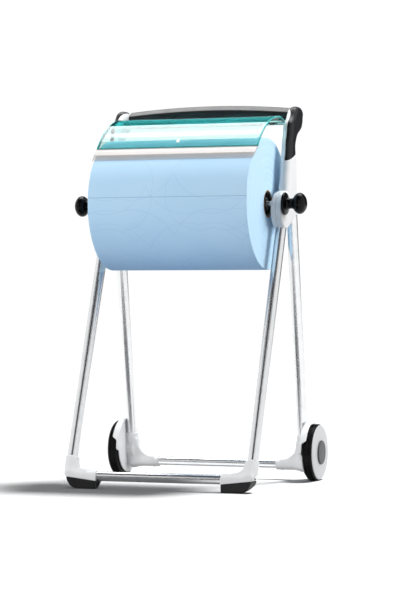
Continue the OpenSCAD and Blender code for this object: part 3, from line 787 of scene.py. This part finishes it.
def lid_ear(x, y, z):
    """The solid ear at each end between the sheet's rear curve and the hinge."""
    d2 = chain(y, z, [(HINGE_Y - 3, HINGE_Z + 1, 3.4), (LID_Y + 6, LID_Z + LID_R - 8.5, 3.4)], ((0, 1),), 1)
    hole = np.hypot(y - HINGE_Y, z - HINGE_Z) - 7.1
    return np.maximum(smax(d2, np.abs(x - LID_HALF + 4) - 4, 1.2), -hole)


lid_ob = lid()
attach(lid_ob, "lid")
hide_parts("lid")


def bar_revolve(name, x1, y, z, r, bore, bore_len):
    """A round bead along X, from -x1 to x1, with a blind hole in each end."""
    mid = [(r - 1.2, x1), (r, x1 - 1.2)]
    prof = [(0.0, x1 - bore_len), (bore, x1 - bore_len), (bore, x1)] + mid
    prof = prof + [(rr, -xx) for rr, xx in reversed(prof)]
    return revolve(name, prof, y, z, 1, 48, closed=False)


bead = bar_revolve("lid_hinge_bead", LID_HALF, HINGE_Y, HINGE_Z, 7.0, 3.1, 22)
finish_piece(bead, "lid", "lid_plastic", lid_sheet)
for name, side in SIDES:
    ob = field_mesh(f"lid_ear_{name}", lid_ear, (LID_HALF - 9, 58, 944), (LID_HALF + 1, 108, 968), 1.2, side)
    finish_piece(ob, "lid", "lid_plastic", lid_sheet)


def lid_tab():
    """The small pale press tab on the lid's front, with rounded edges."""
    middle = math.radians(45)
    bm = bmesh.new()
    bmesh.ops.create_cube(bm, size=1)
    for v in bm.verts:
        v.co = Vector((v.co.x * 9, v.co.y * 15, v.co.z * 2))
    bmesh.ops.bevel(bm, geom=bm.edges[:], offset=0.7, segments=3, profile=0.5, affect="EDGES")
    verts = []
    for v in bm.verts:
        r = LID_R + 0.9 + v.co.z
        ang = middle - v.co.y / LID_R
        verts.append((v.co.x, LID_Y - r * math.sin(ang), LID_Z + r * math.cos(ang)))
    bm.verts.index_update()
    faces = [[v.index for v in f.verts] for f in bm.faces]
    bm.free()
    return fix_normals(mesh_object("lid_press_tab", verts, faces))


finish_piece(lid_tab(), "lid", "tab_plastic", tab_plastic, "lid_tab")


# ---- tear bar ----
def tear_bar():
    """A curved strip with a plain upper half and a comb of slanted, curved teeth below; the side walls are
    painted dark as painted shade between the teeth.
    """
    r0, thick = ROLL_R + 0.7, 2.2
    teeth = 70
    pitch = 2 * LID_HALF / teeth
    a0, a_root, a1 = 32.2, 42.4, 49.4
    tooth_w = 0.6 * pitch
    verts, faces, painted_shade_faces = [], [], []

    def put(x, a, r):
        rad = math.radians(a)
        verts.append((x, ROLL_Y - r * math.sin(rad), ROLL_Z + r * math.cos(rad)))
        return len(verts) - 1

    def band(columns):
        """columns: (angle, list of x, thickness) down the strip. Makes one closed sheet."""
        grid = []
        for a, row, t in columns:
            grid.append(([put(x, a, r0 + t) for x in row], [put(x, a, r0) for x in row]))
        m = len(columns[0][1])
        for (o0, i0), (o1, i1) in zip(grid, grid[1:]):
            for k in range(m - 1):
                faces.append((o0[k], o1[k], o1[k + 1], o0[k + 1]))
                faces.append((i0[k], i0[k + 1], i1[k + 1], i1[k]))
            # the side walls take the painted shade material
            painted_shade_faces.extend((len(faces), len(faces) + 1))
            faces.append((o0[0], i0[0], i1[0], o1[0]))
            faces.append((o0[-1], o1[-1], i1[-1], i0[-1]))
        for (o, i), rev in ((grid[0], False), (grid[-1], True)):
            for k in range(m - 1):
                f = (o[k], o[k + 1], i[k + 1], i[k])
                faces.append(f[::-1] if rev else f)

    wide = list(np.linspace(-LID_HALF, LID_HALF, 15))
    rows = [(a0, wide, 0.7), (33.6, wide, 1.0), (34.6, wide, 1.2), (35.0, wide, 2.0)]
    rows += [(a, wide, thick) for a in np.linspace(35.4, a_root + 0.4, 8)]
    band(rows)
    for i in range(teeth):
        x0 = -LID_HALF + i * pitch
        cols = []
        for k in range(8):
            t = k / 7
            a = a_root + (a1 - a_root) * t
            lean = -0.7 * t - 1.1 * t * t
            w = tooth_w * (1 - 0.55 * t ** 1.6) / 2
            mid = x0 + pitch / 2 + lean + 0.9
            lo = max(mid - w, -LID_HALF)
            hi = min(mid + w, LID_HALF)
            if hi - lo < 0.3:
                hi = lo + 0.3
            cols.append((a, [lo, (lo + hi) / 2, hi], thick - 0.9 * t))
        band(cols)
    ob = fix_normals(mesh_object("tear_comb", verts, faces), merge=False)
    ob.data.materials.append(tear_plastic)
    ob.data.materials.append(tear_painted_shade)
    for k in painted_shade_faces:
        ob.data.polygons[k].material_index = 1
    return sharpen(ob, 30)


finish_piece(tear_bar(), "lid", "tear_plastic", tear_plastic, "tear_bar")


# ---- roll ----
def paper_roll():
    """The wound roll: softly rounded rims, a shallow lay of layers and a perforation line."""
    prof = [(CORE_R, -ROLL_HALF), (CORE_R + 1, -ROLL_HALF + 0.2)]
    waves = 26
    for k in range(waves + 1):
        t = k / waves
        r = CORE_R + 4 + (ROLL_R - 8 - CORE_R - 4) * t
        prof.append((r, -ROLL_HALF + 0.35 + 0.3 * math.sin(k * 1.9) + 0.15 * math.sin(k * 5.3)))
    for a in np.linspace(0, 90, 6):
        rad = math.radians(a)
        prof.append((ROLL_R - 2.2 + 2.2 * math.sin(rad), -ROLL_HALF + 2.5 - 2.2 * math.cos(rad)))
    prof += [(ROLL_R, x) for x in np.linspace(-ROLL_HALF + 14, 0, 12)]
    prof = prof + [(r, -x) for r, x in reversed(prof[:-1])]
    segments = 360
    verts = []
    for r, x in prof:
        for k in range(segments):
            a = 2 * math.pi * k / segments
            rr = r
            if r > ROLL_R - 2:
                gap = abs((a + PERFORATION + math.pi) % (2 * math.pi) - math.pi) * ROLL_R
                rr = r - 0.55 * max(0.0, 1 - gap / 1.6)
            verts.append((x, ROLL_Y - rr * math.sin(a), ROLL_Z + rr * math.cos(a)))
    ob = mesh_object("paper_wound", verts, ring_faces(len(prof), segments))
    fix_normals(ob)
    return sharpen(ob, 40)


finish_piece(paper_roll(), "roll", "paper", paper, "paper_roll")
core_out, core_in = CORE_R - 0.05, CORE_R - 3
core = revolve("cardboard_core", rounded([
    (core_in, -ROLL_HALF), (core_out, -ROLL_HALF), (core_out, ROLL_HALF), (core_in, ROLL_HALF)], 0.5),
    ROLL_Y, ROLL_Z, 1, 96)
finish_piece(core, "roll", "cardboard", cardboard, "roll_core")

PLUG_RIBS = 8
for name, side in SIDES:
    x1 = ROLL_HALF - 1
    x0 = x1 - 34
    plug = revolve(f"core_end_plug_{name}", rounded([
        (8.06, x0), (16, x0), (16, x1 - 10), (30, x1 - 10), (30, x0 + 4), (31.5, x0), (32.95, x0 + 3),
        (32.95, x1), (30, x1), (28, x1 - 5), (18, x1 - 5), (15, x1), (8.06, x1)], 0.7, 3),
        ROLL_Y, ROLL_Z, side, 96)
    finish_piece(plug, "roll", "black_plastic", black_plastic, f"{name}_core_plug")
    verts, faces = [], []
    for k in range(PLUG_RIBS):
        a = 2 * math.pi * k / PLUG_RIBS
        ca, sa = math.cos(a), math.sin(a)
        b = len(verts)
        for r, x in ((15.6, x1 - 5.2), (29.4, x1 - 5.2), (28.6, x1 - 1.6), (17.2, x1 - 1.6)):
            for w in (-0.9, 0.9):
                verts.append((side * x, ROLL_Y + r * ca - w * sa, ROLL_Z + r * sa + w * ca))
        faces += [(b, b + 2, b + 4, b + 6), (b + 1, b + 7, b + 5, b + 3), (b, b + 1, b + 3, b + 2),
                  (b + 2, b + 3, b + 5, b + 4), (b + 4, b + 5, b + 7, b + 6), (b + 6, b + 7, b + 1, b)]
    rib = mesh_object(f"core_plug_ribs_{name}", verts, faces, smooth=False)
    fix_normals(rib)
    bev = rib.modifiers.new("edges", "BEVEL")
    bev.width, bev.segments = 0.0003, 2
    finish_piece(rib, "roll", "black_plastic", black_plastic)


# ---- knobs and spindles ----
BALL_R, BALL_HALF, BALL_X, KNOB_IN = 27.7, 18.5, 304.5, 261.8


def knob(name, side):
    """A flange against the arm, a narrow neck, and a ball that is flattened along its axis."""
    turns = [math.radians(a) for a in np.linspace(146, 0, 26)]
    ball = [(BALL_R * math.sin(a), BALL_X + BALL_HALF * math.cos(a)) for a in turns]
    flange = [(29.0, 262.2), (29.45, 263.2), (29.5, 264.6), (29.2, 266.2), (28.3, 267.6), (26.6, 268.6),
              (23.5, 269.4), (20.0, 270.2), (17.2, 271.6), (15.2, 273.6), (13.9, 276.2), (13.3, 279.4),
              (13.4, 282.4), (14.0, 285.6)]
    profile = [(8.02, KNOB_IN), (28.0, KNOB_IN)] + flange + ball + [(0.0, 296.0), (8.02, 296.0)]
    return revolve(name, profile, ROLL_Y, ROLL_Z, side, 96)


for name, side in SIDES:
    finish_piece(knob(f"pull_knob_{name}", side), f"{name}_knob", "black_plastic", knob_gloss, f"{name}_knob")


# ---- wheels ----
TYRE_IN, TYRE_OUT = 264.8, 290.4


def tyre(name, side):
    """A tyre with two rows of fine cross grooves and a plain rib between them."""
    # radius, x and tread row: 0 is plain, 1 and 2 are the two grooved rows
    sections = [(60.0, TYRE_IN + 0.4, 0), (70.5, TYRE_IN, 0), (73.2, TYRE_IN + 0.5, 0),
                (74.7, TYRE_IN + 1.7, 0), (75.3, TYRE_IN + 2.9, 0), (75.45, TYRE_IN + 3.4, 1),
                (WHEEL_R, TYRE_IN + 7.0, 1), (WHEEL_R, TYRE_IN + 11.3, 1), (WHEEL_R, TYRE_IN + 11.8, 0),
                (WHEEL_R, TYRE_IN + 13.8, 0), (WHEEL_R, TYRE_IN + 14.3, 2), (WHEEL_R, TYRE_IN + 18.6, 2),
                (75.45, TYRE_IN + 22.2, 2), (75.3, TYRE_IN + 22.7, 0), (74.7, TYRE_IN + 23.9, 0),
                (73.2, TYRE_IN + 25.1, 0), (70.5, TYRE_OUT, 0), (60.0, TYRE_OUT - 0.4, 0)]
    grooves, per_groove, depth = 84, 6, 2.2
    segments = grooves * per_groove
    verts = []
    for r, x, row in sections:
        for k in range(segments):
            a = 2 * math.pi * k / segments
            phase = (k + (per_groove // 2 if row == 2 else 0)) % per_groove
            rr = r - depth if row and phase < per_groove // 2 else r
            verts.append((side * x, WHEEL_Y + rr * math.cos(a), WHEEL_Z + rr * math.sin(a)))
    ob = mesh_object(name, verts, ring_faces(len(sections), segments))
    fix_normals(ob)
    return sharpen(ob, 28)


for name, side in SIDES:
    body = f"{name}_wheel"
    finish_piece(tyre(f"tread_{name}", side), body, "tyre_rubber", tyre_rubber, f"{name}_tyre")
    disc = revolve(f"wheel_disc_{name}", rounded([
        (9, 266.3), (17, 266.3), (17, 278), (55, 278), (55, 264.8), (60, 264.8), (60, 290.6), (72, 290.6),
        (73, 291.6), (70.5, 293.2), (50, 294.2), (31.2, 294.8), (31.2, 290.6), (52, 290.6), (52, 282),
        (17, 282), (17, 287), (9, 287)], 0.7, 3), WHEEL_Y, WHEEL_Z, side, 128)
    finish_piece(disc, body, "wheel_plastic", wheel_plastic, f"{name}_wheel")
    cap = revolve(f"hub_cover_{name}", rounded([
        (0, 294.6), (28, 294.6), (28, 283.6), (31, 283.6), (31, 295), (32, 295), (32, 297.6), (30.4, 299),
        (0, 299)], 0.8, 4), WHEEL_Y, WHEEL_Z, side, 96, closed=False)
    finish_piece(cap, body, "cap_plastic", cap_plastic, f"{name}_hub_cap")


# ---- screws ----
def screw_heads(name, spots, axis_x, body, slot, material, nodes):
    """Pan heads with a cross recess on shanks. spots: (x, y, z, side) of each head's face."""
    verts, faces = [], []
    seg = 24
    for x, y, z, side in spots:
        rings = [(0.0, 0.9), (1.1, 0.7), (1.25, 0.05), (3.3, 0.1), (3.85, 0.5), (4.0, 1.2), (4.0, 2.3),
                 (2.15, 2.4), (2.15, 9.0), (0.0, 9.0)]
        rows = []
        for q, (r, h) in enumerate(rings):
            if r == 0:
                rows.append([len(verts)] * seg)
                p = (x + side * h, y, z) if axis_x else (x, y, z + h)
                verts.append(p)
                continue
            row = []
            for k in range(seg):
                a = 2 * math.pi * k / seg
                rr = r * (1.0 + 0.55 * math.cos(4 * a)) if q in (1, 2) else r
                row.append(len(verts))
                c, s = rr * math.cos(a), rr * math.sin(a)
                verts.append((x + side * h, y + c, z + s) if axis_x else (x + c, y + s, z + h))
            rows.append(row)
        for a_row, b_row in zip(rows, rows[1:]):
            for k in range(seg):
                j = (k + 1) % seg
                f = list(dict.fromkeys([a_row[k], a_row[j], b_row[j], b_row[k]]))
                if len(f) > 2:
                    faces.append(f)
    ob = sharpen(fix_normals(mesh_object(name, verts, faces), merge=False))
    return finish_piece(ob, body, slot, material, *nodes)


screw_heads("arm_screw_heads", [(side * 230.6, sy, sz, side) for _, side in SIDES for sy, sz in SCREWS],
            True, "stand", "chrome_steel", screw_steel, ["arm_screws"])
screw_heads("corner_screw_heads",
            [(side * CORNER_SCREW_X, REAR_Y, REAR_Z - SLEEVE_R - 1.4, side) for _, side in SIDES],
            False, "stand", "chrome_steel", screw_steel, ["corner_screws"])

# ---- CAD nodes that stay, with their materials ----
KEPT = {
    chrome: ["handle_core", "left_spindle", "right_spindle", "left_wheel_axle", "right_wheel_axle"],
    screw_steel: ["lid_hinge_pins"],
    spring_steel: ["left_axle_clip", "right_axle_clip", "left_spindle_clip", "right_spindle_clip"],
    nylon: ["left_spindle_bush", "right_spindle_bush", "left_wheel_bush", "right_wheel_bush"],
}
for material, names in KEPT.items():
    for n in names:
        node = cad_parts[n]
        for slot in node.material_slots:
            slot.material = material

# ---- floor, light and camera ----
FAR = 9000
floor = mesh_object("floor", [(-FAR, -FAR, 0), (FAR, -FAR, 0), (FAR, FAR, 0), (-FAR, FAR, 0)],
                    [(0, 1, 2, 3)], smooth=False)
fl = Nodes("floor_white", Roughness=1.0, Specular_IOR_Level=0.0)
fl.colour(fl.mix(fl.spread(fl.noise(3, 2), 0, 1), (0.6, 0.6, 0.6, 1), (0.62, 0.62, 0.62, 1)))
floor.data.materials.append(fl.mat)

# A white background: 1.03 for the camera, 0.95 in reflections and 0.3 as diffuse light.
world = bpy.data.worlds.new("studio")
bpy.context.scene.world = world
world.use_nodes = True
backdrop = world.node_tree.nodes["Background"]
backdrop.inputs[0].default_value = (1, 1, 1, 1)
path = world.node_tree.nodes.new("ShaderNodeLightPath")
level = world.node_tree.nodes.new("ShaderNodeMapRange")
level.inputs["To Min"].default_value = 1.03
level.inputs["To Max"].default_value = 0.3
world.node_tree.links.new(path.outputs["Is Diffuse Ray"], level.inputs["Value"])
dimmed = world.node_tree.nodes.new("ShaderNodeMath")
dimmed.operation = "MULTIPLY_ADD"
dimmed.inputs[1].default_value = -0.08
world.node_tree.links.new(path.outputs["Is Glossy Ray"], dimmed.inputs[0])
world.node_tree.links.new(level.outputs[0], dimmed.inputs[2])
world.node_tree.links.new(dimmed.outputs[0], backdrop.inputs[1])
floor.visible_diffuse = False


def area(name, at, aim, size, power, colour=(1, 1, 1)):
    data = bpy.data.lights.new(name, "AREA")
    data.shape = "RECTANGLE"
    data.size, data.size_y = size
    data.energy = power
    data.color = colour
    ob = bpy.data.objects.new(name, data)
    ob.location = at
    ob.rotation_euler = (Vector(aim) - Vector(at)).to_track_quat("-Z", "Y").to_euler()
    bpy.context.scene.collection.objects.link(ob)
    return ob


def link_only(light, objects, state):
    """The light reaches only these objects (INCLUDE), or everything but them (EXCLUDE)."""
    group = bpy.data.collections.new(light.name + "_link")
    light.light_linking.receiver_collection = group
    for ob in objects:
        group.objects.link(ob)
    for item in group.collection_objects:
        item.light_linking.link_state = state


def softbox(name, at, aim, size, power):
    """A studio light that leaves the floor to the floor's own light."""
    light = area(name, at, aim, size, power)
    link_only(light, [floor], "EXCLUDE")
    return light


for box in (("back_soft", (0.0, 2.3, 2.55), (0, 0.1, 0.98), (4.2, 1.9), 58),
            ("key_soft", (-1.7, -3.6, 1.8), (0, 0, 0.6), (1.8, 1.5), 100),
            ("right_soft", (3.1, 0.5, 1.5), (0.2, 0, 0.7), (2.0, 2.0), 78),
            ("top_strip", (0.0, 0.72, 3.2), (0, -0.1, 0.3), (3.2, 0.4), 70)):
    softbox(*box).visible_glossy = False
under = area("under_fill", (0.0, -0.26, 0.14), (0, -0.1, 0.6), (0.42, 0.2), 0.45, (0.22, 0.52, 1.0))
under.visible_camera = under.visible_glossy = under.visible_transmission = False
link_only(under, [bpy.data.objects["paper_wound"]], "INCLUDE")
gloss = softbox("overhead_gloss", (0.0, 1.12, 3.2), (0, 1.12, 0), (3.4, 2.0), 105)
gloss.visible_diffuse = False
gloss.visible_transmission = False

sun_data = bpy.data.lights.new("floor_light", "SUN")
sun_data.energy = 5.6
sun_data.angle = math.radians(13)
sun = bpy.data.objects.new("floor_light", sun_data)
sun.rotation_euler = Vector((-0.22, -0.34, -1.0)).to_track_quat("-Z", "Y").to_euler()
bpy.context.scene.collection.objects.link(sun)
link_only(sun, [floor], "INCLUDE")


def flag(name, corners):
    """A dark card that shows only in reflections, as a thin dark line on the tubes."""
    ob = mesh_object(name, corners, [(0, 1, 2, 3)], smooth=False)
    m = Nodes(name + "_card", Roughness=1.0, Specular_IOR_Level=0.0)
    m.colour(m.mix(m.noise(4), (0.06, 0.06, 0.065, 1), (0.08, 0.08, 0.085, 1)))
    ob.data.materials.append(m.mat)
    ob.visible_camera = False
    ob.visible_diffuse = False
    ob.visible_shadow = False
    ob.visible_transmission = False
    return ob


def upright_card(name, azimuth, width, dist, z0, z1):
    """A card facing the Z axis from dist away. azimuth is in degrees from +X, towards +Y."""
    a = math.radians(azimuth)
    cx, cy = dist * math.cos(a), dist * math.sin(a)
    tx, ty = -math.sin(a) * width / 2, math.cos(a) * width / 2
    return flag(name, [(cx - tx, cy - ty, z0), (cx + tx, cy + ty, z0),
                       (cx + tx, cy + ty, z1), (cx - tx, cy - ty, z1)])


def level_card(name, x0, x1, y0, y1, z):
    return flag(name, [(x0, y0, z), (x1, y0, z), (x1, y1, z), (x0, y1, z)])


upright_card("dark_card_front", 272, 2700, 3600, 80, 3900)
upright_card("dark_card_low", 243, 1100, 3400, 60, 760)
upright_card("dark_card_back", 90, 6000, 2500, 500, 3500)
level_card("dark_card_floor", -1000, 650, -1700, -420, 3)
level_card("dark_card_ceiling", -2000, 2000, -2300, -100, 2300)

AZIMUTH, ELEVATION, DISTANCE = math.radians(20.03), math.radians(0.13), 5.998
TARGET = Vector((0.0280, -0.0191, 0.4820))
ahead = Vector((-math.sin(AZIMUTH) * math.cos(ELEVATION), math.cos(AZIMUTH) * math.cos(ELEVATION),
                -math.sin(ELEVATION)))
PICTURE_H, FOCAL, SENSOR = 601, 2282, 36  # picture height and focal length in pixels, sensor in mm
cam_data = bpy.data.cameras.new("camera")
cam_data.sensor_fit = "VERTICAL"
cam_data.sensor_width = cam_data.sensor_height = SENSOR
cam_data.lens = FOCAL / PICTURE_H * SENSOR
cam = bpy.data.objects.new("camera", cam_data)
cam.location = TARGET - ahead * DISTANCE
cam.rotation_euler = ahead.to_track_quat("-Z", "Y").to_euler()
bpy.context.scene.collection.objects.link(cam)
bpy.context.scene.camera = cam
bpy.context.scene.view_settings.view_transform = "Standard"
